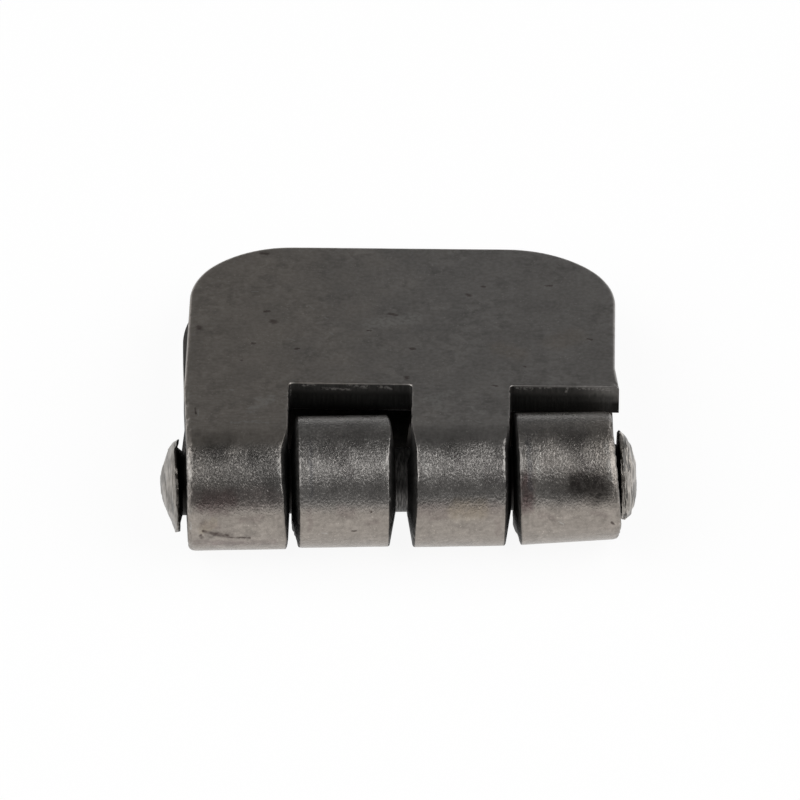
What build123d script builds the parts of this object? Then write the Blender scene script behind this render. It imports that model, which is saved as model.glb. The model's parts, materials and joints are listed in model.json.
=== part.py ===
from build123d import *
import math
import os

# A plain steel butt hinge for welding, folded shut as it lies on a bench.
# Two like stampings, one turned over, share a pin with a peened head at each end.
# The pin lies along X. The lower leaf lies flat on Z = 0 and reaches out along +Y.
# The origin is on that leaf's outer face, under the pin and midway along the leaf.
# The upper leaf has slid a little along the pin, towards -X.

# Driving dimensions, in millimetres and degrees

leaf_length = 40.0          # along the pin
leaf_reach = 30.0           # pin axis to far edge
sheet = 3.0                 # thickness of the strip
corner_radius = 10.0        # far corners of a leaf
upper_askew = 2.8           # each strip was rolled this far askew of its far edge
lower_askew = -0.3
pin_diameter = 6.0
bore_clearance = 0.05       # on the radius, a running fit

end_knuckle = 9.72          # width of the knuckle at a leaf's end
slide = 0.4                 # the upper leaf has slid this far along the pin
side_gap = 0.38             # between an end knuckle and its neighbour
middle_gap = 1.06           # between the two inner knuckles
notch_clearance = 0.85      # from the barrel's outside to the end of a notch
curl_gap = 28.0             # the curl stops this far short of level, at the back
rolled_in = 0.5             # rolling draws the outer edge of a knuckle in by this
end_rolled_in = 0.1         # the same on the free side of the end knuckle
run_in = 30.0               # turn over which a knuckle takes on its slanted sides
run_in_steps = 4
neck_inset = 0.4            # the middle tongue is narrower than its knuckle's bore
notch_flare = 0.4           # the sheared side bulges out beside the open notch
flare_length = 3.5

rolled_edge = 0.4           # soft edge that the die leaves on the outer face
notch_edge = 0.15           # the same in the notches, which are cut crisper
knuckle_edge = 0.2          # the same on the sides of a curl
end_edge = 0.6              # the free end of the barrel is knocked rounder
closing_gap = 0.1           # left between the far tips of the closed leaves

pin_end_play = 0.5          # free length of pin between its heads
pin_shift = -0.2            # the pin has slipped this far from the barrel's middle
left_head_diameter = 8.7    # peened by hand, so the two heads differ
right_head_diameter = 8.1
head_rim = 0.25             # straight edge below the dome
head_dome = 1.45            # height of the dome

# Sizes that follow from them

pin_radius = pin_diameter / 2
bore_radius = pin_radius + bore_clearance
barrel_radius = bore_radius + sheet
axis_height = barrel_radius
half_length = leaf_length / 2
notch_end = barrel_radius + notch_clearance
end_side = half_length - end_knuckle
middle_side = (middle_gap + slide) / 2
tip_angle = math.degrees(math.atan2(bore_radius, leaf_reach))
tip_drop = math.degrees(math.asin((bore_radius - closing_gap) / math.hypot(bore_radius, leaf_reach)))
closed_tilt = tip_angle + tip_drop


def radial_plane(turn):
    """The plane through the pin axis, turned from straight down towards the front.

    Local X runs along the pin and local Y outwards from the axis.
    """
    straight_down = Plane(origin=(0, 0, 0), x_dir=(1, 0, 0), z_dir=(0, 1, 0))
    return straight_down.rotated((-turn, 0, 0))


def knuckle_section(neck, bore, rim, edges, rolled):
    """Section of one knuckle, from the flat tongue (rolled 0) to the full curl (rolled 1).

    neck, bore and rim are the pairs of sides of the tongue, of the curl at the bore
    and of the curl at its outside. edges says how each outer edge is softened and by
    how much on the tongue and on the curl.
    """
    left_in, right_in = (n + (b - n) * rolled for n, b in zip(neck, bore))
    left_out, right_out = (n + (r - n) * rolled for n, r in zip(neck, rim))
    with BuildSketch(mode=Mode.PRIVATE) as section:
        with BuildLine():
            Polyline(
                (left_in, bore_radius),
                (right_in, bore_radius),
                (right_out, barrel_radius),
                (left_out, barrel_radius),
                close=True,
            )
        make_face()
        for side, (soften, flat_edge, curled_edge) in zip((0, -1), edges):
            outer_corner = section.vertices().group_by(Axis.Y)[-1].sort_by(Axis.X)[side]
            soften(outer_corner, flat_edge + (curled_edge - flat_edge) * rolled)
    return section.sketch


# The sides of the two tongues and of their curls, and how their edges are softened

end_bore = (end_side, half_length)
end_neck = end_bore
end_rim = (end_side + rolled_in, half_length - end_rolled_in)
middle_bore = (side_gap - slide - end_side, -middle_side)
middle_neck = (middle_bore[0], middle_bore[1] - neck_inset)
middle_rim = (middle_bore[0] + rolled_in, middle_bore[1] - rolled_in)
broken_edge = (chamfer, notch_edge, knuckle_edge)
end_edges = (broken_edge, (fillet, rolled_edge, end_edge))
middle_edges = (broken_edge, broken_edge)
end_sides = (end_neck, end_bore, end_rim, end_edges)
middle_sides = (middle_neck, middle_bore, middle_rim, middle_edges)
past_notches = notch_end + flare_length / 7


def stamp(out_of_square):
    """One stamping, with the pin axis at its origin and its outer face below."""

    def askew(x, y):
        turned = Vector(x, y).rotate(Axis.Z, out_of_square)
        return (turned.X, turned.Y)

    def on_notch_line(x):
        start = Vector(*askew(0, notch_end))
        return (x, start.Y + (x - start.X) * math.tan(math.radians(out_of_square)))

    with BuildPart() as stamping:
        with BuildSketch(Plane.XY.offset(-barrel_radius)) as flat:
            with BuildLine():
                Polyline(
                    (end_neck[1], 0),
                    (end_neck[1], notch_end),
                    askew(half_length, leaf_reach),
                    askew(-half_length, leaf_reach),
                    askew(-half_length, notch_end + flare_length),
                    askew(-half_length - notch_flare, notch_end),
                    on_notch_line(middle_neck[0]),
                    (middle_neck[0], 0),
                    (middle_neck[1], 0),
                    on_notch_line(middle_neck[1]),
                    on_notch_line(end_neck[0]),
                    (end_neck[0], 0),
                    close=True,
                )
            make_face()
            fillet(flat.vertices().sort_by(Axis.Y)[-2:], corner_radius)
        extrude(amount=sheet)
        for soften, size, first, last in (
            (fillet, rolled_edge, past_notches, leaf_length),
            (chamfer, notch_edge, notch_edge, past_notches),
        ):
            outer_face = stamping.faces().sort_by(Axis.Z)[0]
            soften(outer_face.edges().filter_by_position(Axis.Y, first, last), size)
        for sides in (end_sides, middle_sides):
            for step in range(run_in_steps + 1):
                share = step / run_in_steps
                with BuildSketch(radial_plane(share * run_in)):
                    add(knuckle_section(*sides, rolled=share * share * (3 - 2 * share)))
            loft()
            with BuildSketch(radial_plane(run_in)):
                add(knuckle_section(*sides, rolled=1))
            revolve(axis=Axis((0, 0, 0), (-1, 0, 0)), revolution_arc=270 + curl_gap - run_in)
    return stamping.part


# The two leaves, the upper one turned over, folded down and slid along the pin

with BuildPart() as lower_leaf:
    add(stamp(lower_askew).moved(Location((0, 0, axis_height))))

with BuildPart() as upper_leaf:
    turned_over = stamp(upper_askew).rotate(Axis.Y, 180).rotate(Axis.X, -closed_tilt)
    add(turned_over.moved(Location((-slide, 0, axis_height))))

# The pin, with its domed heads

pin_middle = pin_shift - slide / 2
pin_plane = Plane(origin=(pin_middle, 0, axis_height), x_dir=(1, 0, 0), z_dir=(0, -1, 0))
head_seat = (leaf_length + slide + pin_end_play) / 2
dome_start = head_seat + head_rim
pin_tip = dome_start + head_dome

with BuildPart() as pin:
    with BuildSketch(pin_plane):
        with BuildLine():
            Line((-pin_tip, 0), (pin_tip, 0))
            TangentArc((pin_tip, 0), (dome_start, right_head_diameter / 2), tangent=(0, 1))
            Polyline(
                (dome_start, right_head_diameter / 2),
                (head_seat, right_head_diameter / 2),
                (head_seat, pin_radius),
                (-head_seat, pin_radius),
                (-head_seat, left_head_diameter / 2),
                (-dome_start, left_head_diameter / 2),
            )
            TangentArc((-pin_tip, 0), (-dome_start, left_head_diameter / 2), tangent=(0, 1))
        make_face()
    revolve(axis=Axis((0, 0, axis_height), (1, 0, 0)))

os.makedirs("parts", exist_ok=True)
upper_leaf.part.label = "upper_leaf"
lower_leaf.part.label = "lower_leaf"
pin.part.label = "pin"
export_step(upper_leaf.part, "parts/upper_leaf.step")
export_step(lower_leaf.part, "parts/lower_leaf.step")
export_step(pin.part, "parts/pin.step")

print("closed tilt", round(closed_tilt, 3), "degrees")
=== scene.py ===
# %% [markdown]
# # A weld-on butt hinge, folded shut
#
# Two like steel stampings share one pin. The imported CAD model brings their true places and
# sizes, and this lesson dresses them: it sets a camera and a small studio round the hinge,
# makes each piece again with the dents and soft edges of the real one, and gives the steel
# its finish. Everything is in metres, with the pin along X and the floor at height zero.

# %% Load the hinge
import json
import math

import bmesh
import bpy
import numpy as np
from mathutils import Matrix, Quaternion, Vector, noise


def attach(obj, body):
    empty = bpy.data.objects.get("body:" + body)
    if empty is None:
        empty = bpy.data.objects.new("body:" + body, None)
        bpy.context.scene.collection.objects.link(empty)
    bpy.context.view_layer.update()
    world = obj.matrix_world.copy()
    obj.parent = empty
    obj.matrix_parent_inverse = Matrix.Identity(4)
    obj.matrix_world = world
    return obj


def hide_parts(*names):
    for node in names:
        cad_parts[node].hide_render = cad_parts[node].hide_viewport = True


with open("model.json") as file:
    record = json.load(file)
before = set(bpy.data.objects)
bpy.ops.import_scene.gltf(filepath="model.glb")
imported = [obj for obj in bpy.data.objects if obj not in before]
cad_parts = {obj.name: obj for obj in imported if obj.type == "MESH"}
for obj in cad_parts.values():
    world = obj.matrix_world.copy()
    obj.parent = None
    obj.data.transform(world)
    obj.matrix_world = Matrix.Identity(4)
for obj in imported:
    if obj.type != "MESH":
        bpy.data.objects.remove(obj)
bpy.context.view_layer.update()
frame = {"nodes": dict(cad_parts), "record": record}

mm = 0.001
print("nodes:", sorted(frame["nodes"]))

# %% [markdown]
# ## The camera
#
# The photograph looks down on the barrel from a little to the left, through a long lens, so
# that edges that are parallel on the hinge stay almost parallel in the picture. A camera is
# easiest to place by what it looks at: a point on the hinge, two angles and a distance. The
# last turn about the line of sight is the small tilt with which the hinge lay in the picture.

# %% Place the camera
camera_azimuth = math.radians(2.642)
camera_elevation = math.radians(45.671)
camera_tilt = math.radians(1.027)
camera_distance = 1.531
picture_width = 0.07454      # what the picture spans at that distance
looked_at = Vector((0, 8 * mm, 6 * mm))
centre_right, centre_up = 0.014 * mm, 1.701 * mm   # the picture's centre, from that point

line_of_sight = Vector((
    math.sin(camera_azimuth) * math.cos(camera_elevation),
    math.cos(camera_azimuth) * math.cos(camera_elevation),
    -math.sin(camera_elevation),
))
turn = line_of_sight.to_track_quat("-Z", "Y") @ Quaternion((0, 0, 1), camera_tilt)
camera = bpy.data.objects.new("Camera", bpy.data.cameras.new("Camera"))
bpy.context.scene.collection.objects.link(camera)
camera.rotation_mode = "QUATERNION"
camera.rotation_quaternion = turn
camera.location = (
    looked_at
    + turn @ Vector((centre_right, centre_up, 0))
    - line_of_sight * camera_distance
)
camera.data.lens = camera.data.sensor_width * camera_distance / picture_width
bpy.context.scene.camera = camera
print("lens", round(camera.data.lens), "mm")

# %% [markdown]
# ## Helpers for the node trees
#
# Every finish below is a small tree of shader nodes. Three helpers keep the cells short: one
# adds a node and fills in its settings, one plugs a socket into another, and one does a step
# of arithmetic.

# %% Add and link nodes
def add_node(tree, kind, settings=None, **inputs):
    """Add a node. settings are its own properties, the rest are its inputs by name."""
    node = tree.nodes.new(kind)
    for name, value in (settings or {}).items():
        setattr(node, name, value)
    for name, value in inputs.items():
        plug(tree, value, node.inputs[name.replace("_", " ")])
    return node


def plug(tree, value, socket):
    """Link an output socket into socket, or write a plain value there."""
    if isinstance(value, bpy.types.NodeSocket):
        tree.links.new(value, socket)
    else:
        socket.default_value = value


def step(tree, operation, first, second=0.0):
    """One step of arithmetic on plain numbers."""
    node = add_node(tree, "ShaderNodeMath", {"operation": operation})
    plug(tree, first, node.inputs[0])
    plug(tree, second, node.inputs[1])
    return node.outputs[0]


# %% [markdown]
# ## The studio
#
# Bare steel shows its surroundings more than its own colour, so the studio is half of the
# finish. The room is dim overhead and grows paler towards the horizon, where it meets the
# table. A soft lamp stands before the hinge and high up, which puts the broad sheen on the
# barrel, and a large one at each side lights the ends. The leaf mirrors the dim back of the
# room and stays dark. A colour ramp on the height of the view is the plainest way to draw such
# a room, and each stop is a level of light where 1 is white.

# %% The room
room_shades = (     # how high, as the sine of its angle, and the level of light there
    (0.01, 0.36), (0.11, 0.26), (0.42, 0.235), (0.8, 0.095),
)
scene = bpy.context.scene
scene.view_settings.view_transform = "Standard"
room = bpy.data.worlds.new("Room")
room.use_nodes = True
scene.world = room
tree = room.node_tree
direction = add_node(tree, "ShaderNodeTexCoord").outputs["Generated"]
height = add_node(tree, "ShaderNodeSeparateXYZ", Vector=direction).outputs["Z"]
shades = add_node(tree, "ShaderNodeValToRGB", Fac=height)
stops = shades.color_ramp.elements
for index, (sine, level) in enumerate(room_shades):
    stop = stops[index] if index < 2 else stops.new(sine)     # a ramp starts with two stops
    stop.position = sine
    stop.color = (level, level, level, 1)
plug(tree, shades.outputs["Color"], tree.nodes["Background"].inputs["Color"])
print("room, from the horizon up:", [level for sine, level in room_shades])

# %% The lamps
def soft_lamp(name, azimuth, elevation, distance, size, power):
    """A square lamp that looks at the hinge. Azimuth 0 is the camera's side, 90 the right."""
    a, e = math.radians(azimuth), math.radians(elevation)
    away = Vector((math.sin(a) * math.cos(e), -math.cos(a) * math.cos(e), math.sin(e)))
    lamp = bpy.data.objects.new(name, bpy.data.lights.new(name, "AREA"))
    lamp.data.size = size
    lamp.data.energy = power
    lamp.location = away * distance
    lamp.rotation_euler = (-away).to_track_quat("-Z", "Y").to_euler()
    scene.collection.objects.link(lamp)
    print(name, "at", [round(c, 2) for c in lamp.location])


soft_lamp("Front_lamp", azimuth=0, elevation=64.5, distance=1.2, size=0.95, power=0.36)
soft_lamp("Left_lamp", azimuth=-82, elevation=42, distance=1.2, size=1.4, power=13.0)
soft_lamp("Right_lamp", azimuth=82, elevation=42, distance=1.2, size=1.4, power=13.0)

# %% [markdown]
# ## The table
#
# The hinge lies on a plain white table. What the camera and the steel see of it is white, and
# a share of the true, lit surface is kept in the mix, so that the hinge still has its shadow.

# %% The table top
table_half = 4.0
table_level = -0.02 * mm      # a hair below the hinge, so that the two faces don't share a place
white_share = 0.92            # the rest of what is seen is the lit paint, with its shadow
table_mesh = bpy.data.meshes.new("Table")
corners = [(x * table_half, y * table_half, table_level)
           for x, y in ((-1, -1), (1, -1), (1, 1), (-1, 1))]
table_mesh.from_pydata(corners, [], [(0, 1, 2, 3)])
table = bpy.data.objects.new("Table", table_mesh)
scene.collection.objects.link(table)

table_paint = bpy.data.materials.new("Table white")
table_paint.use_nodes = True
tree = table_paint.node_tree
lit = tree.nodes["Principled BSDF"]
lit.inputs["Base Color"].default_value = (0.94, 0.94, 0.94, 1)
lit.inputs["Roughness"].default_value = 0.9
rays = add_node(tree, "ShaderNodeLightPath").outputs
seen = step(tree, "MAXIMUM", rays["Is Camera Ray"], rays["Is Glossy Ray"])
seen = step(tree, "MAXIMUM", seen, rays["Is Transmission Ray"])
white = add_node(tree, "ShaderNodeEmission", Color=(1, 1, 1, 1), Strength=1.0)
mixed = add_node(tree, "ShaderNodeMixShader", Fac=step(tree, "MULTIPLY", seen, white_share))
plug(tree, lit.outputs[0], mixed.inputs[1])
plug(tree, white.outputs[0], mixed.inputs[2])
plug(tree, mixed.outputs[0], tree.nodes["Material Output"].inputs["Surface"])
table_mesh.materials.append(table_paint)
print("table", 2 * table_half, "m wide")

# %% [markdown]
# ## The blank of a leaf
#
# Each leaf starts as a flat blank, cut from 3 mm strip: a plate with two round corners and two
# tongues, with a notch beside each tongue for the other leaf's knuckles. It could be modelled
# curled from the start, but a press makes it flat first, and so does this lesson: a flat blank
# is easy to draw, to soften and to divide, and bending it afterwards carries all of that along.
# Here x runs along the pin, y away from it, and z up from the face that ends up outside. The
# blank is a little askew to the pin, which is how the strip went through the rolls.

# %% Sizes of the blank
leaf_length, leaf_reach, sheet = 40 * mm, 30 * mm, 3 * mm
bore_radius, barrel_radius = 3.05 * mm, 6.05 * mm
right_corner = (8.2 * mm, 10.2 * mm)        # radii of the far corners, tighter at the sides
left_corner = (11.2 * mm, 8.1 * mm)
punch_radius = 0.35 * mm                    # the punch is not quite sharp in the notches
far_trim = 0.2 * mm                         # the far edge was sheared this much out of square
lower_end_side = 20 * mm                    # the free side, at the end of the barrel
upper_end_side = 19.76 * mm                 # the upper leaf's was cut a little shorter
end_tongue = (10.28 * mm, 20 * mm)          # from side to side, along the pin
middle_tongue = (-10.3 * mm, -1.13 * mm)
middle_knuckle = (-10.3 * mm, -0.73 * mm)   # the curl is wider than its tongue
notch_end = 6.9 * mm                        # the bottom of the notches, from the pin's axis
flare, flare_length = 0.4 * mm, 3.5 * mm    # the sheared side bulges beside the open notch
curl_turn = math.radians(298)               # how far round the tongues are rolled
neutral_radius = (bore_radius + barrel_radius) / 2
tongue_tip = -neutral_radius * curl_turn
print("a tongue is", round(-tongue_tip / mm, 1), "mm long before it is rolled")


# %% Outline of the blank
far_steps, punch_steps = 24, 4              # how many straight pieces make a round corner


def turned(x, y, angle):
    """A point turned about the origin."""
    return Vector((x * math.cos(angle) - y * math.sin(angle),
                   x * math.sin(angle) + y * math.cos(angle)))


def round_corner(corner, before, after, first_radius, second_radius, steps):
    """Points of a curve in place of a corner. Its first and second half have their own radius."""
    corner, before, after = Vector(corner), Vector(before), Vector(after)
    back, on = (before - corner).normalized(), (after - corner).normalized()
    sweep = math.atan2(on.cross(back), -on.dot(back))
    path = [Vector((0, 0))]
    for index in range(steps):
        radius = first_radius if index < steps / 2 else second_radius
        heading = turned(*-back, sweep * (index + 0.5) / steps)
        path.append(path[-1] + heading * 2 * radius * math.sin(abs(sweep) / steps / 2))
    start = corner - back * path[-1].cross(on) / back.cross(on)
    return [start + point for point in path]


def outline(askew, end_side):
    """The blank's corners in order, the right side of the end tongue first."""
    half = leaf_length / 2

    def notch_corner(side):
        level = turned(side, notch_end, askew).y
        return Vector((side - notch_end * math.sin(askew), level))

    right_foot = Vector((end_side, notch_end))
    far_right = turned(end_side, leaf_reach - far_trim, askew)
    far_left = turned(-half, leaf_reach, askew)
    flare_top = turned(-half, notch_end + flare_length, askew)
    flare_tip = turned(-half - flare, notch_end, askew)
    points = [(end_side, tongue_tip), (end_side, 0), right_foot]
    points += round_corner(far_right, right_foot, far_left, *right_corner, far_steps)
    points += round_corner(far_left, far_right, flare_top, *left_corner, far_steps)
    points += [flare_top, flare_tip]
    middle_low, middle_high = middle_tongue
    end_low = end_tongue[0]
    for side, before, after in ((middle_low, flare_tip, (middle_low, 0)),
                                (middle_high, (middle_high, 0), notch_corner(end_low)),
                                (end_low, notch_corner(middle_high), (end_low, 0))):
        if side == middle_high:
            points += [(middle_low, 0), (middle_low, tongue_tip)]
            points += [(middle_high, tongue_tip), (middle_high, 0)]
        points += round_corner(
            notch_corner(side), before, after, punch_radius, punch_radius, punch_steps)
    points += [(end_low, 0), (end_low, tongue_tip)]
    return [Vector(point) for point in points]


print("the outline of a blank has", len(outline(0, lower_end_side)), "points")

# %% [markdown]
# ## Soft edges
#
# The die rounds the edges of the outer face, and the free end of the barrel is knocked rounder
# still, while the notches stay crisp. A Bevel modifier with a weight on every edge does all of
# them in one go, and it also works out the corners where a soft edge meets a crisp one.

# %% Press the blank and soften it
rim_edge = 0.4 * mm           # round the plate, on the outer face
notch_edge = 0.15 * mm        # in the notches
knuckle_edge = 0.18 * mm      # along the sides of a tongue
free_edge = 0.6 * mm          # at the barrel's free end
inside_edge = 0.1 * mm        # all round the inner face
past_notches = notch_end + 0.5 * mm
hair = 0.01 * mm              # too small to matter, in a comparison


def edge_size(first, second, end_side):
    """How far an edge of the blank is rounded, from its two ends."""
    middle = (first + second) / 2
    if abs(first.z - second.z) > hair:       # an edge through the sheet stays sharp
        return 0
    if middle.z > sheet / 2:
        return inside_edge
    if middle.y < 0:
        return free_edge if middle.x > end_side - hair else knuckle_edge
    if middle.y < past_notches and middle.x < end_side - hair:
        return notch_edge
    return rim_edge


def pressed_blank(askew, end_side):
    """The flat blank as a closed mesh with soft edges."""
    bm = bmesh.new()
    face = bm.faces.new([bm.verts.new((*point, 0)) for point in outline(askew, end_side)])
    lifted = bmesh.ops.extrude_face_region(bm, geom=[face], use_keep_orig=True)["geom"]
    bmesh.ops.translate(bm, vec=(0, 0, sheet),
                        verts=[g for g in lifted if isinstance(g, bmesh.types.BMVert)])
    bmesh.ops.recalc_face_normals(bm, faces=bm.faces[:])
    weight = bm.edges.layers.float.new("bevel_weight_edge")
    for edge in bm.edges:
        edge[weight] = edge_size(*(v.co for v in edge.verts), end_side) / free_edge
    mesh = bpy.data.meshes.new("Blank")
    bm.to_mesh(mesh)
    bm.free()
    blank = bpy.data.objects.new("Blank", mesh)
    scene.collection.objects.link(blank)
    soft = blank.modifiers.new("Soft edges", "BEVEL")
    soft.limit_method = "WEIGHT"
    soft.width = free_edge
    soft.segments = 4
    soft.use_clamp_overlap = False
    pressed = bpy.data.meshes.new_from_object(
        blank.evaluated_get(bpy.context.evaluated_depsgraph_get()))
    bpy.data.objects.remove(blank)
    return pressed


print("edges rounded by", round(inside_edge / mm, 2), "to", round(free_edge / mm, 2), "mm")

# %% [markdown]
# ## Small faces to bend
#
# A flat face has nothing in its middle to bend, so the blank is cut into small squares first.
# Cutting with planes keeps the outline and its soft edges exactly as they are, which neither
# subdividing nor remeshing would do.

# %% Cut the blank into small squares
cut_step = 0.25 * mm
first_cut = 0.11 * mm         # an odd start, so that no cut runs along an edge of the blank
cut_slack = 0.002 * mm        # a point this near to a cut counts as on it


def cut_fine(mesh):
    """Cut a mesh along x and then along y, and give back a BMesh."""
    bm = bmesh.new()
    bm.from_mesh(mesh)
    for direction, first, last in ((Vector((1, 0, 0)), -leaf_length / 2, leaf_length / 2),
                                   (Vector((0, 1, 0)), tongue_tip, leaf_reach + 1 * mm)):
        for place in np.arange(first + first_cut, last, cut_step):
            bmesh.ops.bisect_plane(
                bm, geom=bm.verts[:] + bm.edges[:] + bm.faces[:], dist=cut_slack,
                plane_co=direction * place, plane_no=direction)
    return bm


print("a cut every", round(cut_step / mm, 2), "mm")

# %% [markdown]
# ## Rolling the tongues
#
# Behind the notches the strip stays flat. Before them each tongue curls round the pin, and its
# middle layer keeps its length. The outer fibres stretch as they go round and draw the sides
# of the knuckle in, so that a knuckle is narrower outside than at its bore. No two knuckles
# came out alike, so each side has its own short table: how far round, and how far drawn in
# there, at the bore and at the outside. The curls are not quite round either. Each swells out
# a little over one quarter turn: where that starts is given for the leaf, and how much for the
# middle knuckle and for the two sides of the end one.

# %% Roll the tongues
run_in = math.radians(30)     # the sides take on their slant over this turn
beside = 1 * mm               # a point this far beside a tongue still belongs to it


def smooth(share):
    """Ease a share from 0 to 1, level at both ends."""
    share = np.clip(share, 0, 1)
    return share * share * (3 - 2 * share)


def drawn_in(table, turn, depth):
    """How far a side is drawn in, at this turn round the pin and depth below the outside."""
    degrees, at_bore, at_outside = (np.array(column, float) for column in zip(*table))
    at = np.degrees(turn)
    inner = np.interp(at, degrees, at_bore) * mm
    outer = np.interp(at, degrees, at_outside) * mm
    return outer + (inner - outer) * depth / sheet


def swollen(x, turn, depth, start, middle, end):
    """How far the curl swells out of round over a quarter turn, at most in its middle."""
    amount = np.where(x < 0, middle * mm, np.interp(x, end_tongue, np.array(end) * mm))
    quarter = np.clip((turn - math.radians(start)) * 2, 0, math.pi)
    return amount * np.sin(quarter) ** 2 * (1 - depth / sheet)


def roll(points, sides):
    """Bend the flat blank's points round the pin, which lies on the origin along x."""
    x, y, depth = points.T.copy()
    turn = np.clip(-y, 0, None) / neutral_radius
    swell = swollen(x, turn, depth, *sides["swell"])
    share = smooth(turn / run_in)
    for tongue, knuckle, (low_table, high_table) in (
            (end_tongue, end_tongue, sides["end"]),
            (middle_tongue, middle_knuckle, sides["middle"])):
        here = (y < 0) & (x > tongue[0] - beside) & (x < tongue[1] + beside)
        low = knuckle[0] + drawn_in(low_table, turn, depth)
        high = knuckle[1] - drawn_in(high_table, turn, depth)
        low, high = (flat + (curled - flat) * share for flat, curled in zip(tongue, (low, high)))
        across = (x - tongue[0]) / (tongue[1] - tongue[0])
        x = np.where(here, low + across * (high - low), x)
    radius = barrel_radius - depth + swell
    flat_y = np.clip(y, 0, None)
    return np.stack((x, flat_y - radius * np.sin(turn), -radius * np.cos(turn)), axis=1)


print("the tongues are rolled by", round(math.degrees(curl_turn)), "degrees")

# %% [markdown]
# ## Wear
#
# Rolled and tumbled steel is never quite true. The outside gets shallow hollows a few
# hundredths of a millimetre deep, and the outer edges of the knuckles lose small chips. Both
# come from noise read at each vertex, which gives the same dents every time.

# %% Dent the outside and chip its edges
worn_depth = 0.8 * mm         # the wear fades out over this much of the sheet


def noise_at(points, size, seed):
    """Smooth noise between -1 and 1, with features about size across."""
    offset = Vector((seed, 2 * seed, 3 * seed))
    return np.array([noise.noise(Vector(point) / size + offset) for point in points])


def wear(points, normals, flat, seed):
    """Push points in by shallow dents, and more where an outer edge is chipped."""
    outside = smooth(1 - flat[:, 2] / worn_depth)
    wide_hollows = (1 - noise_at(points, 3.5 * mm, seed)) * 0.012 * mm
    small_hollows = (1 - noise_at(points, 1.1 * mm, seed + 5)) * 0.005 * mm
    sideways = np.abs(normals[:, 0])
    at_edge = outside * smooth(sideways * 4) * (flat[:, 1] < notch_end)
    few_chips = np.clip(noise_at(points, 0.55 * mm, seed + 9) - 0.1, 0, 1) * 0.22 * mm
    many_chips = np.clip(noise_at(points, 0.33 * mm, seed + 13), 0, 1) * 0.14 * mm
    worn = outside * (wide_hollows + small_hollows) + at_edge * (few_chips + many_chips)
    return points - normals * worn[:, None]


# %% [markdown]
# ## The two leaves
#
# Both leaves come from the same steps. The lower one lies face down on the table. The upper
# one is turned over about the pin's direction, folded down until the far tips almost meet, and
# has slid a little to the left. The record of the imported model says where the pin's axis is
# and how the upper leaf's face is tilted, so those two are read from it.

# %% Make the leaves
axis_height = frame["record"]["behaviour"]["joints"][0]["pos_m"][2]
upper_face = next(m for m in frame["record"]["mounts"] if m["name"] == "upper_leaf_face")
closed_tilt = math.atan2(upper_face["axis"][1], upper_face["axis"][2])
slide = -upper_face["pos_m"][0]
sliver = 0.008 * mm           # two points nearer than this become one


def finish_mesh(bm, name, sharp_angle):
    """Turn a BMesh into an object with smooth faces and crisp corners."""
    mesh = bpy.data.meshes.new(name)
    bm.to_mesh(mesh)
    bm.free()
    mesh.polygons.foreach_set("use_smooth", [True] * len(mesh.polygons))
    mesh.set_sharp_from_angle(angle=math.radians(sharp_angle))
    piece = bpy.data.objects.new(name, mesh)
    scene.collection.objects.link(piece)
    return piece


def points_of(bm):
    """The places of all vertices, one to a row."""
    return np.array([v.co[:] for v in bm.verts])


def move_points(bm, points):
    """Move the vertices to these places."""
    for vertex, point in zip(bm.verts, points):
        vertex.co = point
    bm.normal_update()


def mark_vertices(bm, name, values):
    """Keep a number, or a point, with every vertex, for the finish to read."""
    kind = bm.verts.layers.float if np.ndim(values) == 1 else bm.verts.layers.float_vector
    layer = kind.new(name)
    for vertex, value in zip(bm.verts, values):
        vertex[layer] = value


def make_leaf(name, askew, end_side, sides, placement, seed):
    """Press, cut, mark, roll and wear one leaf, and put it in its place on the pin."""
    bm = cut_fine(pressed_blank(askew, end_side))
    bm.normal_update()
    flat = points_of(bm)
    facing = np.array([abs(v.normal.z) for v in bm.verts])     # 1 on a face, 0 on a cut side
    mark_vertices(bm, "strip", flat / mm)
    mark_vertices(bm, "sheared", 1 - smooth((facing - 0.1) / 0.35))
    mark_vertices(bm, "edge", smooth(facing / 0.3) * smooth((0.9995 - facing) / 0.03))
    move_points(bm, roll(flat, sides))
    bent = points_of(bm)
    normals = np.array([v.normal[:] for v in bm.verts])
    move_points(bm, wear(bent, normals, flat, seed))
    bmesh.ops.remove_doubles(bm, verts=bm.verts[:], dist=sliver)
    bm.transform(placement)
    leaf = finish_mesh(bm, name, sharp_angle=50)
    print(name, len(leaf.data.polygons), "faces")
    return leaf


# A row of a side: degrees round the pin, and millimetres drawn in at the bore and outside
lower_sides = {
    "end": ([(30, -0.1, 0.55), (60, -0.1, 0.5), (100, -0.1, 0.3), (160, -0.1, 0.27),
             (226, -0.1, 0.1), (298, -0.1, 0.3)],
            [(30, 0, 0.1), (60, 0, 0.0), (85, 0, -0.12), (105, 0.05, 0.02), (136, 0.2, 0.25),
             (180, 0.5, 0.55), (298, 0.55, 0.6)]),
    "middle": ([(30, -0.1, 0.5), (136, -0.1, 0.41), (226, -0.1, 0.46), (298, -0.1, 0.5)],
               [(30, 0, 0.6), (145, 0, 0.62), (165, 0, 0.5), (182, 0, 0.3), (200, 0, 0.38),
                (220, 0, 0.58), (298, 0, 0.6)]),
    "swell": (0, 0.17, (0.22, -0.2)),
}
upper_sides = {
    "end": ([(30, -0.1, 0.6), (55, -0.1, 0.6), (70, -0.1, 0.42), (90, -0.1, 0.3),
             (120, -0.1, 0.1), (200, -0.1, 0.3), (298, -0.1, 0.5)],
            [(0, 0, 0), (100, 0, 0), (125, 0, 0.08), (146, 0.05, 0.22), (298, 0.1, 0.3)]),
    "middle": ([(30, -0.1, 0.44), (298, -0.1, 0.5)],
               [(30, 0, 0.74), (70, 0, 0.74), (110, 0, 0.5), (298, 0, 0.5)]),
    "swell": (101, 0.26, (0.26, 0.28)),
}
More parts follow.
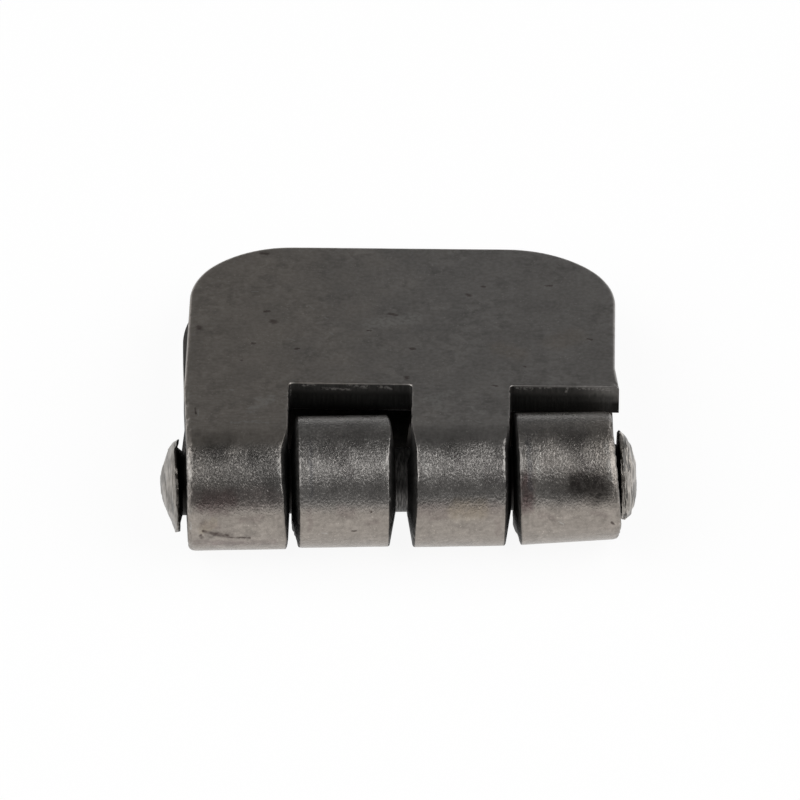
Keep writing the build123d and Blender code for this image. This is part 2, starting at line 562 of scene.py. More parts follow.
raised = Matrix.Translation((0, 0, axis_height))
turned_over = (Matrix.Translation((-slide, 0, axis_height))
               @ Matrix.Rotation(-closed_tilt, 4, "X") @ Matrix.Rotation(math.pi, 4, "Y"))
upper_askew, lower_askew = math.radians(2.8), math.radians(-0.3)
lower = make_leaf(
    "Lower_leaf_rolled", lower_askew, lower_end_side, lower_sides, raised, seed=11)
upper = make_leaf(
    "Upper_leaf_rolled", upper_askew, upper_end_side, upper_sides, turned_over, seed=37)
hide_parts("lower_leaf")
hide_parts("upper_leaf")
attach(lower, "lower_leaf")
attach(upper, "upper_leaf")

# %% [markdown]
# ## The pin
#
# The pin is a length of 6 mm bar whose ends were hammered over into domed heads. A plain
# lathe shape would look new and turned, so each head is made blow by blow: it starts as a
# smooth dome, each blow lays a flat across it, and the steel that was driven outwards leaves a
# thin, ragged rim. The profile is lathed as a grid of rings and spokes, and the blows lower it.

# %% Sizes of the pin
pin_radius = 3 * mm
pin_middle = -0.4 * mm               # it has slipped a little to the left
head_seat = 20.45 * mm               # where a head starts, from the pin's middle
head_rim, head_dome = 0.36 * mm, 1.36 * mm      # heights of the straight rim and the dome
left_head = {
    "radius": 4.35 * mm,
    "power": 1.95,                   # a true cone would be 1, and higher is fuller at the rim
    "droop": 0.22 * mm,              # how far the dome was struck towards the picture's bottom
    "belly": -0.22 * mm,             # how much fuller it is low down
    "crown": 0.1 * mm,               # how much fuller it is high up
    "raised": -0.24 * mm,            # how far up it sits from the shank's middle
    "lean": math.radians(-2.6),      # how far it leans to the right
    "burr": 0.4 * mm,                # how far its top rim curls towards the knuckle
    "shoulder": 0.36 * mm,           # how far the shank swells below it
    "lip": 0.07 * mm,                # a swollen ring just inside the rim
}
right_head = {
    "radius": 4.18 * mm,
    "power": 2.3,
    "droop": 0.09 * mm,
    "belly": 0.22 * mm,
    "crown": 0.2 * mm,
    "raised": 0.12 * mm,
    "lean": math.radians(-1.6),
    "burr": 0.0,
    "shoulder": 0.1 * mm,
    "lip": 0.17 * mm,
}
# A blow: its turn round the pin in radians, how far out as a share of the radius, and its
# depth in millimetres. The last one on the right is a flat on the very top.
left_blows = [
    (0.5, 0.42, 0.05), (1.9, 0.5, 0.07), (3.1, 0.38, 0.05), (4.3, 0.55, 0.06), (5.5, 0.46, 0.05),
    (2.5, 0.75, 0.05), (3.7, 0.8, 0.06), (1.2, 0.78, 0.04), (4.9, 0.82, 0.06),
]
right_blows = [
    (0.1, 0.4, 0.05), (1.4, 0.55, 0.06), (2.7, 0.45, 0.05), (4.0, 0.5, 0.07), (5.2, 0.4, 0.05),
    (2.1, 0.8, 0.06), (3.4, 0.76, 0.05), (4.6, 0.82, 0.05), (0.0, 0.0, 0.04),
]
print("blows on the heads:", len(left_blows), "and", len(right_blows))

# %% Beat a head into shape
image_up = (math.sin(camera_elevation), math.cos(camera_elevation))   # as y and z
crease = 0.04 * mm                   # the border of a flat is rounded over this height


def strike(height, flat):
    """Lower the steel to a flat wherever the flat is lower, with a rounded border."""
    gap = flat - height
    rounded = height - (crease - gap) ** 2 / (4 * crease)
    return np.where(gap < -crease, flat, np.where(gap > crease, height, rounded))


def head_surface(y, z, shape, blows, seed):
    """Height of a head above its seat, over the point (y, z) of the disc."""
    radius, power = shape["radius"], shape["power"]
    share = np.clip(np.hypot(y, z) / radius, 0, 1)
    upwards = (y * image_up[0] + z * image_up[1]) / radius
    height = head_rim + head_dome * (1 - share ** power)
    height += shape["crown"] * np.sin(math.pi * np.clip(upwards, 0, 1) ** 1.6)
    for turn, reach, dig in blows:
        foot = head_rim + head_dome * (1 - reach ** power)
        slope = -power * head_dome / radius * reach ** (power - 1)
        from_foot = y * math.cos(turn) + z * math.sin(turn) - reach * radius
        height = strike(height, foot - dig * mm + slope * from_foot)
    spots = np.stack((height * 0, y, z), axis=1)
    height -= (1 - noise_at(spots, 0.8 * mm, seed)) * 0.025 * mm           # small dents
    folds = np.stack((share * radius / (0.22 * mm), upwards * 2.5, share * 0), axis=1)
    height -= (1 - noise_at(folds, 1.0, seed + 3)) * 0.03 * mm             # folds round the rim
    swell, hollow = ((share - 0.9) / 0.07) ** 2, ((share - 0.76) / 0.05) ** 2
    lip = np.exp(-swell) - 0.8 * np.exp(-hollow)
    height += lip * (0.4 + noise_at(spots, 1.1 * mm, seed + 5)) * shape["lip"]
    height += shape["belly"] * np.sin(math.pi * np.clip(-upwards, 0, 1) ** 2)
    return height - shape["droop"] * upwards * np.clip(share * 2, 0, 1)


def head_place(side, height, y, z, shape):
    """Where a place on a head goes, from its height over the seat. The shank stays true."""
    away = math.hypot(y, z)
    share = min(1.0, max(0.0, 5 * (away / pin_radius - 1)))     # 0 over the shank, 1 out at the rim
    up = y * image_up[0] + z * image_up[1]
    curl = float(smooth((up / shape["radius"] - 0.72) / 0.26)) * shape["burr"]
    curl *= 1 - 0.7 * float(smooth(height / head_rim))      # the rim grows thicker as it curls
    x = pin_middle + side * (head_seat + height - curl) + share * up * math.tan(shape["lean"])
    lift = share * shape["raised"]
    return x, y + lift * image_up[0], axis_height + z + lift * image_up[1]


# %% Make the pin
spokes = 224
head_rings = 52
shank_rings = 60
shank_inset = 0.6 * mm               # the shank's first ring, from the head's seat


def make_head(bm, side, shape, blows, seed):
    """Add one head to the pin, from its apex to the shank. side is -1 or 1."""
    radius = shape["radius"]
    turns = np.arange(spokes) * 2 * math.pi / spokes
    around = np.stack((np.cos(turns), np.sin(turns)), axis=1)
    ring_points = np.stack((around[:, 0] * 0, *around.T), axis=1) * radius
    ragged = 1 - 0.03 * np.clip(noise_at(ring_points, 1.3 * mm, seed + 20) + 0.3, 0, 1)
    ragged -= 0.028 * np.clip(noise_at(ring_points, 0.35 * mm, seed + 21), 0, 1)
    rows = []
    for ring in range(1, head_rings + 1):
        share = math.sin(ring / head_rings * math.pi / 2) ** 0.9     # closer towards the rim
        y, z = (around * (share * radius * ragged)[:, None]).T
        rows.append((head_surface(y, z, shape, blows, seed), y, z))
    y, z = (around * (radius * (ragged - 0.02))[:, None]).T          # the rim's lower border
    rows.append((y * 0 + 0.08 * mm + noise_at(ring_points, 0.6 * mm, seed + 7) * 0.06 * mm, y, z))
    for reach, height in ((0.9 * radius, 0.03 * mm),
                          (pin_radius + 1.5 * shape["shoulder"], 0.0),
                          (pin_radius, -shape["shoulder"])):
        y, z = (around * reach).T
        rows.append((y * 0 + height, y, z))
    apex_height = float(head_surface(np.zeros(1), np.zeros(1), shape, blows, seed)[0])
    apex = bm.verts.new(head_place(side, apex_height, 0, 0, shape))
    rings = [[bm.verts.new(head_place(side, *point, shape)) for point in zip(*row)] for row in rows]
    for a, b in zip(rings[0], rings[0][1:] + rings[0][:1]):
        bm.faces.new((apex, a, b))
    for outer, inner in zip(rings[:-1], rings[1:]):
        join_rings(bm, outer, inner)
    return rings[-1]


def join_rings(bm, one, other):
    """Fill the band between two rings with faces."""
    for a, b, c, d in zip(one, one[1:] + one[:1], other[1:] + other[:1], other):
        bm.faces.new((a, b, c, d))


bm = bmesh.new()
left_end = make_head(bm, -1, left_head, left_blows, seed=3)
right_end = make_head(bm, 1, right_head, right_blows, seed=6)
previous = left_end
for place in np.linspace(-head_seat + shank_inset, head_seat - shank_inset, shank_rings):
    ring = [bm.verts.new((pin_middle + place, v.co.y, v.co.z)) for v in left_end]
    join_rings(bm, previous, ring)
    previous = ring
join_rings(bm, previous, right_end)
bmesh.ops.recalc_face_normals(bm, faces=bm.faces[:])
pin = finish_mesh(bm, "Pin_peened", sharp_angle=60)
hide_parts("pin")
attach(pin, "lower_leaf")
print("pin", len(pin.data.polygons), "faces")

# %% [markdown]
# ## Drawing on the strip
#
# Every mark on a leaf was made on flat strip or on its curl, so the finish is drawn there too.
# Each vertex has kept its place on the flat blank, in millimetres, in an attribute called
# strip. A noise or a scratch that is laid out by it follows the steel round the curl, and a
# stain needs only two numbers to say where it is. The helpers below are the few steps that all
# the finishes share.

# %% Steps that the finishes share
def vector_step(tree, operation, first, second, result="Vector"):
    """One step of arithmetic on points or colours."""
    node = add_node(tree, "ShaderNodeVectorMath", {"operation": operation})
    plug(tree, first, node.inputs[0])
    plug(tree, second, node.inputs["Scale"] if operation == "SCALE" else node.inputs[1])
    return node.outputs[result]


def ramp(tree, value, low, high, start=0.0, end=1.0):
    """Turn a value between low and high smoothly into one between start and end."""
    node = add_node(tree, "ShaderNodeMapRange", {"interpolation_type": "SMOOTHSTEP"},
                    Value=value, From_Min=low, From_Max=high, To_Min=start, To_Max=end)
    return node.outputs["Result"]


def blend(tree, share, one, other):
    """Mix two colours, with share of the other."""
    node = add_node(tree, "ShaderNodeMix", {"data_type": "RGBA"})
    for value, socket in ((share, 0), (one, 6), (other, 7)):
        plug(tree, value, node.inputs[socket])
    return node.outputs[2]


def grain(tree, place, size, detail=2.0, stretch=(1, 1, 1), swirl=0.0):
    """Noise from 0 to 1 with features about size millimetres across."""
    node = add_node(tree, "ShaderNodeTexNoise", Scale=1 / size, Detail=detail, Distortion=swirl,
                    Vector=vector_step(tree, "MULTIPLY", place, stretch))
    return node.outputs["Fac"]


def bumps(tree, height, depth, share=1.0, under=None):
    """Raise the surface by height, up to depth in millimetres, over the bumps that are under it."""
    node = add_node(tree, "ShaderNodeBump", Height=height, Distance=depth * mm, Strength=share)
    if under:
        plug(tree, under, node.inputs["Normal"])
    return node.outputs["Normal"]


# %% [markdown]
# ## Marks
#
# A pit, a scratch and a stain differ only in length and width, so one helper draws them all: it
# takes the distance from a short line on the strip and fades it out. Warping the place by a
# little noise first keeps the edges from looking drawn with a compass. Chaining the marks with
# a maximum gives one mask for each kind.

# %% Draw marks
def one_mark(tree, place, start, end, width):
    """Mask of a mark from start to end, so wide, in millimetres on the strip."""
    start = Vector(start).to_3d()
    along = Vector(end).to_3d() - start
    from_start = vector_step(tree, "SUBTRACT", place, start)
    reach = vector_step(tree, "DOT_PRODUCT", from_start, along / along.length_squared, "Value")
    reach = add_node(tree, "ShaderNodeClamp", Value=reach).outputs[0]
    nearest = vector_step(tree, "SCALE", along, reach)
    away = vector_step(tree, "DISTANCE", from_start, nearest, "Value")
    return ramp(tree, away, width / 2, width * 0.1)


def marks(tree, place, table):
    """One mask for a whole table of marks. Each is x, y, its run along x and y, and its width."""
    mask = 0.0
    for x, y, run_x, run_y, width in table:
        mark = one_mark(tree, place, (x, y), (x + run_x, y + run_y), width)
        mask = step(tree, "MAXIMUM", mark, mask)
    return mask


def warp(tree, place, size, amount):
    """Shift each place by up to amount, in waves of the given size, all in millimetres."""
    noise = add_node(tree, "ShaderNodeTexNoise", Vector=place, Scale=1 / size, Detail=2.0)
    shift = vector_step(tree, "SUBTRACT", noise.outputs["Color"], (0.5, 0.5, 0.5))
    return vector_step(tree, "ADD", place, vector_step(tree, "SCALE", shift, 2 * amount))


# %% [markdown]
# ## The leaves' steel
#
# The strip came from the mill with a thin dark skin, oily and a little brown in places. The
# rolls pressed against the curls and left them with a fine orange peel that sparkles wherever
# the light falls off, while the flat leaf stayed smooth. Light flecks painted high on the curls
# add to that sparkle, and some bright scuffs along the knuckle edges are painted highlights.
# Where the shear cut, the steel is dark and torn along its thickness, and the sharp edges are
# rubbed bright. Shade is painted deep in the cuts, along the inner edges, on the knuckle edges
# beside the gaps and over a band of sheen on each barrel. All of it is one metallic shader:
# colour and roughness change from place to place and bump carries the grain.

# %% Colours of the leaves
mill_skin_cool = (0.273, 0.260, 0.248, 1)
mill_skin_warm = (0.283, 0.257, 0.231, 1)
oil_film = (0.297, 0.266, 0.237, 1)         # brown film on the front of the curls
cut_steel = (0.095, 0.092, 0.088, 1)
# painted shade, deep in the cuts and along the inner edges
deep_shade_black = (0.012, 0.0115, 0.011, 1)
torn_steel = (0.05, 0.049, 0.047, 1)        # deeper in the cut than the shear's clean bite
rubbed_steel = (0.50, 0.48, 0.46, 1)
heat_stain = (0.150, 0.112, 0.108, 1)       # purple brown
soot_stain = (0.072, 0.064, 0.059, 1)
sheen_shade = (0.120, 0.116, 0.112, 1)        # painted shade that dims the sheen over a band of a barrel
ochre_stain = (0.300, 0.255, 0.190, 1)
blued_band = (0.140, 0.140, 0.148, 1)
pit_brown = (0.060, 0.045, 0.040, 1)
# light scratches and scuffs, and painted highlights along the knuckle edges
bright_mark_and_highlight = (0.42, 0.41, 0.39, 1)
# painted shade along the knuckle edges beside the gaps
gap_edge_black = (0.018, 0.017, 0.016, 1)
nick_strength = 0.5
peel_depth, skin_depth, tear_depth, pit_depth = 0.056, 0.0025, 0.03, 0.016    # of the bumps, in mm
between_notches = (-10.0, -7.0)             # along the strip: one notch lies below, one above
print("skin", mill_skin_cool[:3], "to", mill_skin_warm[:3])


# %% The skin and its mottling
def mill_skin(tree, along, curled, height, clouds):
    """Colour of the plain skin. It is browner at one end and on the front of the curls."""
    browned = step(tree, "ADD", along, step(tree, "MULTIPLY", clouds, 16.0))
    browned = step(tree, "SUBTRACT", browned, step(tree, "MULTIPLY", curled, 12.0))
    colour = blend(tree, ramp(tree, browned, 0.0, 24.0), mill_skin_cool, mill_skin_warm)
    film = step(tree, "MULTIPLY", ramp(tree, height, 9.2 * mm, 7.4 * mm), curled)
    return blend(tree, film, colour, oil_film)


def mottling(tree, place, out, curled, height, clouds, fine, peel):
    """How light the skin is from place to place, where 1 leaves it as it is."""
    streaks = grain(tree, place, 0.28, 3.0, stretch=(0.25, 1, 1))
    streaks = ramp(tree, streaks, 0.3, 0.7, -0.06, 0.06)
    near_curls = ramp(tree, out, 12.0, 3.0, 0.1, 1.0)
    smudges = ramp(tree, grain(tree, place, 1.1, 5.0, swirl=0.6), 0.3, 0.7, -0.12, 0.12)
    patches = ramp(tree, grain(tree, place, 5.0, 2.0), 0.42, 0.62, 0.3, 1.3)
    specks = ramp(tree, grain(tree, place, 0.2, 1.0), 0.66, 0.75)
    where_specks = ramp(tree, grain(tree, place, 2.6, 2.0), 0.46, 0.6, 0.1, 0.55)
    # light flecks on the orange peel, stronger high on the curls where the sheen falls: grain, and
    # painted sparkle
    flecks_and_sparkle = step(tree, "MULTIPLY", ramp(tree, peel, 0.5, 0.66, -0.13, 0.26), curled)
    up_in_the_sheen = ramp(tree, height, 6.5 * mm, 9.5 * mm, 0.25, 0.8)
    tone = step(tree, "ADD", ramp(tree, clouds, 0.3, 0.7, -0.05, 0.05),
                ramp(tree, fine, 0.3, 0.7, 0.91, 1.09))
    for marking, share in ((streaks, near_curls), (smudges, patches),
                           (specks, where_specks), (flecks_and_sparkle, up_in_the_sheen)):
        tone = step(tree, "ADD", tone, step(tree, "MULTIPLY", marking, share))
    return tone


# %% The cut faces
def cut_face(tree, place, crisp, along, depth, tear, nicks):
    """Colour of a cut face: torn and with painted shade deep down, darker in the closed notch, paler
    towards its open end, and nicked.
    """
    cut = blend(tree, ramp(tree, step(tree, "ADD", depth, tear), 1.2, 1.8), cut_steel, torn_steel)
    # painted shade deep in a cut, strongest in the closed notch
    deep_shade = step(tree, "MULTIPLY", ramp(tree, depth, 1.9, 2.9),
                 ramp(tree, along, *between_notches, 0.3, 1.0))
    cut = blend(tree, deep_shade, cut, deep_shade_black)
    cut = vector_step(tree, "SCALE", cut, ramp(tree, along, *between_notches, 0.98, 0.84))
    cut = vector_step(tree, "SCALE", cut, ramp(tree, tear, 0.3, 0.7, 0.8, 1.2))
    open_end = step(tree, "ADD", along, step(tree, "MULTIPLY", tear, 3.0))
    cut = vector_step(tree, "SCALE", cut, ramp(tree, open_end, -15.0, -18.0, 1.0, 2.4))
    flaked = ramp(tree, grain(tree, place, 0.25, 3.0), 0.42, 0.6, 0.0, nick_strength)
    for x, z, x_end, z_end, width in nicks:
        start, end = ((side, notch_end / mm + side * math.sin(upper_askew), deep)
                      for side, deep in ((x, z), (x_end, z_end)))
        nicked = step(tree, "MULTIPLY", one_mark(tree, crisp, start, end, width), flaked)
        cut = blend(tree, nicked, cut, rubbed_steel)
    return cut


# %% The finish of a leaf
def attribute(tree, name, result):
    """What every vertex keeps under this name."""
    return add_node(tree, "ShaderNodeAttribute", {"attribute_name": name}).outputs[result]


def leaf_steel(name, stains, pits, scuffs_and_highlights, scratches, cracks, nicks):
    """Make a leaf's steel from tables of marks. stains are tables with their colour and strength."""
    material = bpy.data.materials.new(name)
    material.use_nodes = True
    tree = material.node_tree
    shader = tree.nodes["Principled BSDF"]
    place = attribute(tree, "strip", "Vector")
    along, out, depth = add_node(tree, "ShaderNodeSeparateXYZ", Vector=place).outputs
    spot = add_node(tree, "ShaderNodeTexCoord").outputs["Object"]
    height = add_node(tree, "ShaderNodeSeparateXYZ", Vector=spot).outputs["Z"]
    curled = ramp(tree, out, -0.8, -2.4)
    sheared = attribute(tree, "sheared", "Fac")
    edge = attribute(tree, "edge", "Fac")
    clouds = grain(tree, place, 3.5, 3.0)
    fine = grain(tree, place, 0.4, 3.0)
    peel = grain(tree, place, 0.19, 2.0, swirl=0.3)
    tear = grain(tree, place, 0.22, 3.0, stretch=(1, 1, 0.12))
    ragged = warp(tree, place, 0.9, 0.4)
    crisp = warp(tree, place, 0.3, 0.08)

    # The skin, stained and mottled
    colour = mill_skin(tree, along, curled, height, clouds)
    patchy = ramp(tree, grain(tree, place, 0.6, 4.0), 0.3, 0.6, 0.65, 1.0)
    for table, stain, strength in stains:
        mask = marks(tree, ragged, table)
        share = step(tree, "MULTIPLY", step(tree, "MULTIPLY", mask, patchy), strength)
        colour = blend(tree, share, colour, stain)
    tone = mottling(tree, place, out, curled, height, clouds, fine, peel)
    colour = vector_step(tree, "SCALE", colour, tone)

    # The single marks, each with how strongly it shows
    pitted = marks(tree, warp(tree, place, 0.4, 0.17), pits)
    scratched = marks(tree, crisp, scratches)
    # scuffs, and painted highlights on the rounded edges of the knuckles
    scuffed_and_highlit = marks(tree, ragged, scuffs_and_highlights)
    cracked = marks(tree, warp(tree, place, 0.7, 0.13), cracks)
    thin = ramp(tree, fine, 0.35, 0.65, 0.15, 0.5)
    broken = ramp(tree, grain(tree, place, 0.7, 2.0), 0.35, 0.6, 0.4, 0.9)
    for mask, strength, shade in ((pitted, 0.8, pit_brown), (scratched, 0.55, bright_mark_and_highlight),
                                  (scuffed_and_highlit, thin, bright_mark_and_highlight), (cracked, broken, pit_brown)):
        colour = blend(tree, step(tree, "MULTIPLY", mask, strength), colour, shade)

    # The cut faces and the edges: painted shade on the inner edges and, beside the gaps, on the
    # outer ones, and chips outside
    colour = blend(tree, sheared, colour, cut_face(tree, place, crisp, along, depth, tear, nicks))
    inner_edge_shade = step(tree, "MULTIPLY", edge, ramp(tree, depth, 1.5, 2.0))
    outer_edge = step(tree, "MULTIPLY", edge, ramp(tree, depth, 0.6, 0.4))
    # painted shade on the outer edges of the curls, beside the gaps between knuckles; the barrel's
    # free ends keep little of it
    gap_edge_shade = step(tree, "MULTIPLY", outer_edge, ramp(tree, out, 1.0, -1.0, 0.1, 0.92))
    free_end = ramp(tree, step(tree, "ABSOLUTE", along), 18.7, 19.1)
    gap_edge_shade = step(tree, "MULTIPLY", gap_edge_shade, ramp(tree, free_end, 0.0, 1.0, 1.0, 0.1))
    chipped = step(tree, "MULTIPLY", ramp(tree, grain(tree, place, 0.4, 3.0), 0.6, 0.7),
                   ramp(tree, grain(tree, place, 2.2, 1.0), 0.45, 0.6, 0.15, 0.5))
    chipped = step(tree, "MULTIPLY", outer_edge, chipped)
    for share, shade in ((inner_edge_shade, deep_shade_black), (gap_edge_shade, gap_edge_black), (chipped, rubbed_steel)):
        colour = blend(tree, share, colour, shade)
    plug(tree, colour, shader.inputs["Base Color"])

    # The rolls smoothed the curls, and cut or pitted steel is rougher, as are the edges beside the
    # gaps
    rough = ramp(tree, clouds, 0.3, 0.7, 0.3, 0.36)
    for mask, change in ((curled, -0.05), (sheared, 0.25), (gap_edge_shade, 0.2), (pitted, 0.2)):
        rough = step(tree, "ADD", rough, step(tree, "MULTIPLY", mask, change))
    plug(tree, rough, shader.inputs["Roughness"])
    shader.inputs["Metallic"].default_value = 1.0

    # Orange peel on the curls, a fine grain all over, tears on the cuts, and the pits
    on_outside = step(tree, "MULTIPLY", curled, step(tree, "SUBTRACT", 1.0, sheared))
    peeled = step(tree, "MULTIPLY", on_outside, ramp(tree, clouds, 0.3, 0.6, 0.6, 1.0))
    sunken = step(tree, "SUBTRACT", 0.0, pitted)
    normal = bumps(tree, peel, peel_depth, peeled)
    normal = bumps(tree, grain(tree, place, 0.15, 3.0), skin_depth, 1.0, normal)
    normal = bumps(tree, tear, tear_depth, sheared, normal)
    normal = bumps(tree, sunken, pit_depth, 1.0, normal)
    plug(tree, normal, shader.inputs["Normal"])
    print(name, len(tree.nodes), "nodes")
    return material


# %% [markdown]
# ## What each leaf has been through
#
# The marks below are the ones that can be told apart in the photograph. They are given where
# they lie on the flat strip: x along the pin, y away from it, and below zero on the curl. The
# upper leaf is turned over, so its x runs the other way in the picture.

# %% Steel of the two leaves
upper_stains = [
    # painted shade over the sheen on the front of the end knuckle
    ([(11.5, -3.4, 7.5, 0.0, 4.8)], sheen_shade, 0.55),
    ([(17.7, -8.4, -2.0, -0.35, 1.3)], pit_brown, 0.3),
    ([(-9.3, -6.6, 7.6, 0.0, 1.9), (11.5, -9.7, 7.5, 0.1, 1.2)], heat_stain, 0.35),
    ([(15.6, -5.7, 2.4, -0.1, 2.4)], heat_stain, 0.7),
    ([(11.2, -5.6, 7.5, 0.0, 2.4), (16.2, -6.6, 1.3, 0.0, 1.3)], heat_stain, 0.38),
    ([(-7.6, -6.7, 2.4, 0.0, 2.6), (17.2, -7.4, 1.0, -0.6, 1.4)], ochre_stain, 0.45),
    ([(-11.5, 11.5, 1.6, 1.2, 3.2), (-16.8, 14.5, 1.5, -1.0, 4.0)], oil_film, 0.6),
    ([(18.3, -7.6, -1.6, -0.1, 1.0), (14.6, -7.2, -2.0, 0.1, 0.9), (-9.4, -7.7, 0.0, -1.6, 0.8),
      (-4.2, -7.3, 1.4, -0.1, 0.8), (14.6, -9.7, 2.8, 0.1, 0.9)], heat_stain, 0.3),
]
upper_pits = [
    (11.4, 29.0, 0.4, 0.1, 0.9), (11.05, 17.5, 0.05, 0.1, 1.15), (18.05, 16.6, 0.0, 0.2, 1.0),
    (11.5, 19.3, 0.4, 0.0, 0.6), (-0.4, 18.35, 0.6, 0.2, 0.7), (-7.35, 21.5, 0.1, 0.1, 0.8),
    (-8.8, 22.9, 0.1, 0.05, 0.5), (-15.1, 22.9, 0.4, 0.0, 0.5), (-1.9, 12.7, 0.3, 0.05, 0.55),
    (-9.3, 6.3, 0.3, 0.1, 0.5), (-1.0, 7.8, 0.0, 0.2, 0.8), (-18.5, 13.8, 0.3, 0.1, 0.45),
    (13.0, 14.0, 0.2, 0.0, 0.55), (8.9, 13.0, 0.25, -0.1, 0.5),
    (14.2, 11.2, 0.1, 0.0, 0.4), (2.1, 15.8, 0.2, 0.1, 0.4), (-12.1, 9.4, 0.1, 0.1, 0.45),
]
# Scuffs, and painted highlights along the rounded edges and free ends of the knuckles
upper_scuffs_and_highlights = [
    (-2.0, -2.8, -0.1, -1.6, 1.0), (10.75, -2.7, 0.0, -2.2, 0.4), (12.0, 0.9, 3.4, 0.15, 0.5),
    (-3.4, 4.6, -0.6, -1.6, 1.8), (12.3, 4.6, 0.7, 0.2, 1.1), (19.6, -1.0, 0.0, -7.0, 0.5),
    (9.6, 7.6, 0.0, 0.2, 0.9), (-14.9, 22.5, 0.4, 0.0, 0.5), (2.0, 17.0, -4.0, 0.8, 2.6),
    (11.6, 5.0, 2.0, -2.0, 1.6), (-2.6, 4.2, -2.4, 1.2, 1.2), (-6.8, 3.0, -1.0, -1.2, 0.8),
]
upper_scratches = [
    (12.4, 22.7, 0.6, 0.0, 0.16), (7.2, 19.6, 0.5, 0.6, 0.16), (9.2, 14.4, 0.6, 0.3, 0.16),
    (6.0, 17.9, 0.3, 0.3, 0.2), (-7.5, 19.0, 0.5, 1.0, 0.14), (15.2, 6.3, 0.2, 0.1, 0.4),
    (-7.6, 0.35, 0.45, 0.3, 0.2), (18.5, 3.2, 0.0, -1.0, 0.14), (5.6, 15.3, 0.3, 0.4, 0.2),
]
upper_cracks = [     # a long one on the end curl and a short one on the plate
    (18.3, -8.2, -1.3, -0.35, 0.42), (17.2, -8.55, -1.2, -0.25, 0.66),
    (16.2, -8.85, -2.3, -0.2, 0.34), (18.4, -8.9, 0.1, 0.2, 0.6), (18.75, 3.5, 0.0, -1.0, 0.3),
]
upper_nicks = [      # in the notches: x and depth at the start and at the end, and the width
    (-15.95, 0.1, -15.7, 0.9, 0.4), (-11.0, 0.3, -12.6, 0.35, 0.5), (4.4, 0.1, 2.8, 0.3, 0.8),
    (1.6, 0.3, 0.4, 0.5, 0.5), (6.9, 0.6, 4.2, 0.7, 0.4), (-13.2, 0.3, -14.6, 0.2, 0.4),
    (-16.8, 0.2, -19.8, 0.3, 0.6), (8.9, 0.3, 7.6, 0.2, 0.5), (9.8, 0.2, 9.9, 1.4, 0.35),
]
lower_stains = [
    # painted shade over the sheen along the top of the lower leaf's barrel
    ([(-10.3, -15.7, 30.3, -0.5, 2.2)], sheen_shade, 0.55),
    ([(16.0, -10.4, 1.9, 0.2, 3.3), (17.6, -9.8, 0.5, -0.3, 2.8)], soot_stain, 0.95),
    ([(14.6, -10.0, 3.9, 0.0, 3.8)], soot_stain, 0.35),
    ([(10.9, -9.0, 0.0, -1.4, 2.6)], heat_stain, 0.95),
    ([(-9.0, -13.8, 0.05, 4.0, 0.6), (11.35, -13.6, 0.1, 3.6, 0.7)], blued_band, 0.5),
    ([(-6.2, -8.6, 1.2, 0.1, 1.4), (-3.4, -7.6, 0.8, 0.0, 0.9), (12.4, -8.0, 1.2, 0.3, 1.0),
      (17.3, -8.1, 1.2, 0.2, 0.8), (-9.2, -7.0, 0.0, -1.8, 0.8)], heat_stain, 0.3),
]
lower_pits = [
    (19.1, -7.2, 0.1, 0.1, 0.4), (-4.95, -6.75, 0.4, -0.05, 0.26), (-3.2, -8.5, 0.2, 0.0, 0.24),
]
# Scuffs, and painted highlights along the rounded edges and free ends of the knuckles
lower_scuffs_and_highlights = [
    (-1.9, -15.3, 0.5, 0.0, 1.1), (-9.6, -15.0, 0.0, 0.5, 0.8), (19.05, -13.2, 0.15, 2.4, 0.7),
    (-1.7, -12.8, 0.0, 2.2, 0.4), (12.2, -12.6, 0.0, 1.5, 0.6),
]
lower_scratches = [(14.0, -7.4, 0.5, 0.3, 0.14), (-8.0, -6.6, 0.6, 0.1, 0.12)]
upper_steel = leaf_steel(
    "Upper leaf steel", upper_stains, upper_pits, upper_scuffs_and_highlights, upper_scratches,
    upper_cracks, upper_nicks)
lower_steel = leaf_steel(
    "Lower leaf steel", lower_stains, lower_pits, lower_scuffs_and_highlights, lower_scratches,
    cracks=[], nicks=[])
for leaf, steel in ((upper, upper_steel), (lower, lower_steel)):
    leaf.data.materials.clear()
    leaf.data.materials.append(steel)

# %% [markdown]
# ## The pin's steel
#
# The shank runs dark and dry in the knuckles, with fine marks round it, and shade is painted on
# it in the outer gaps, under the heads and on its upper side. The hammer has stretched the steel
# of the heads and burnished it, so they are lighter, with fibres that run up and down. How far a
# place is along the pin tells the two apart.

# %% Colours of the pin
shank_dark = (0.05, 0.048, 0.046, 1)
shank_worn = (0.16, 0.153, 0.146, 1)
gap_shade_black = (0.03, 0.028, 0.026, 1)          # painted shade in the outer gaps and under the heads
head_bright = (0.36, 0.334, 0.305, 1)
head_shade = (0.20, 0.186, 0.169, 1)
fold_dark = (0.07, 0.067, 0.063, 1)          # between the folds of the heads
fibre_depth, fold_depth, turning_depth = 0.025, 0.09, 0.015      # of the bumps, in mm
left_to_right = (-1.0, 1.0)                  # along the pin: one head lies below, one above
print("heads", head_shade[:3], "to", head_bright[:3])

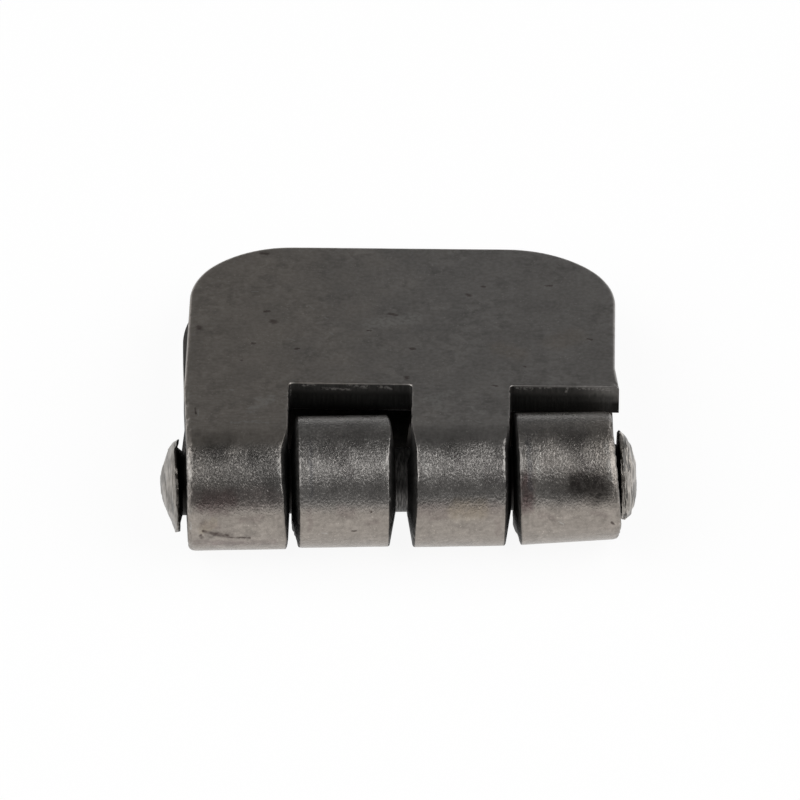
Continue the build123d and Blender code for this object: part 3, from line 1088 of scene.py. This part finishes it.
# %% The finish of the pin
pin_steel = bpy.data.materials.new("Pin steel")
pin_steel.use_nodes = True
tree = pin_steel.node_tree
shader = tree.nodes["Principled BSDF"]
spot = add_node(tree, "ShaderNodeTexCoord").outputs["Object"]
place = vector_step(tree, "SCALE", spot, 1 / mm)
along, across, level = add_node(tree, "ShaderNodeSeparateXYZ", Vector=place).outputs
from_middle = step(tree, "ABSOLUTE", step(tree, "SUBTRACT", along, pin_middle / mm))
on_head = ramp(tree, from_middle, head_seat / mm + 0.02, head_seat / mm + 0.12)
fibres = grain(tree, place, 0.13, 3.0, stretch=(1, 0.07, 0.07), swirl=0.25)
folds = ramp(tree, grain(tree, place, 0.3, 2.0, stretch=(1, 0.14, 0.14), swirl=0.4), 0.5, 0.38)
folds = step(tree, "MULTIPLY", folds, ramp(tree, along, *left_to_right, 0.25, 0.85))
turned_marks = grain(tree, place, 0.14, 3.0, stretch=(1, 0.15, 0.15))
blotches = grain(tree, place, 0.8, 3.0)
shank = blend(tree, ramp(tree, turned_marks, 0.35, 0.65), shank_dark, shank_worn)
# painted shade on the shank away from its middle, in the outer gaps and under the heads
shank = blend(tree, ramp(tree, from_middle, 3.0, 5.0), shank, gap_shade_black)
up_into_shade = step(tree, "ADD", across, level)      # higher and further back, where painted shade darkens the shank
shank = vector_step(tree, "SCALE", shank, ramp(tree, up_into_shade, 3.2, 5.5, 1.12, 0.45))
head = blend(tree, ramp(tree, fibres, 0.38, 0.58), head_shade, head_bright)
head = blend(tree, folds, head, fold_dark)
head = vector_step(tree, "SCALE", head, ramp(tree, blotches, 0.3, 0.7, 0.85, 1.2))
head = vector_step(tree, "SCALE", head, ramp(tree, along, *left_to_right, 0.89, 1.25))
plug(tree, blend(tree, on_head, shank, head), shader.inputs["Base Color"])
plug(tree, ramp(tree, on_head, 0.0, 1.0, 0.5, 0.36), shader.inputs["Roughness"])
shader.inputs["Metallic"].default_value = 1.0
sunken = step(tree, "SUBTRACT", 0.0, folds)
off_head = step(tree, "SUBTRACT", 1.0, on_head)
normal = bumps(tree, fibres, fibre_depth, on_head)
normal = bumps(tree, sunken, fold_depth, on_head, normal)
normal = bumps(tree, turned_marks, turning_depth, off_head, normal)
plug(tree, normal, shader.inputs["Normal"])
pin.data.materials.clear()
pin.data.materials.append(pin_steel)
print("pin steel", len(tree.nodes), "nodes")
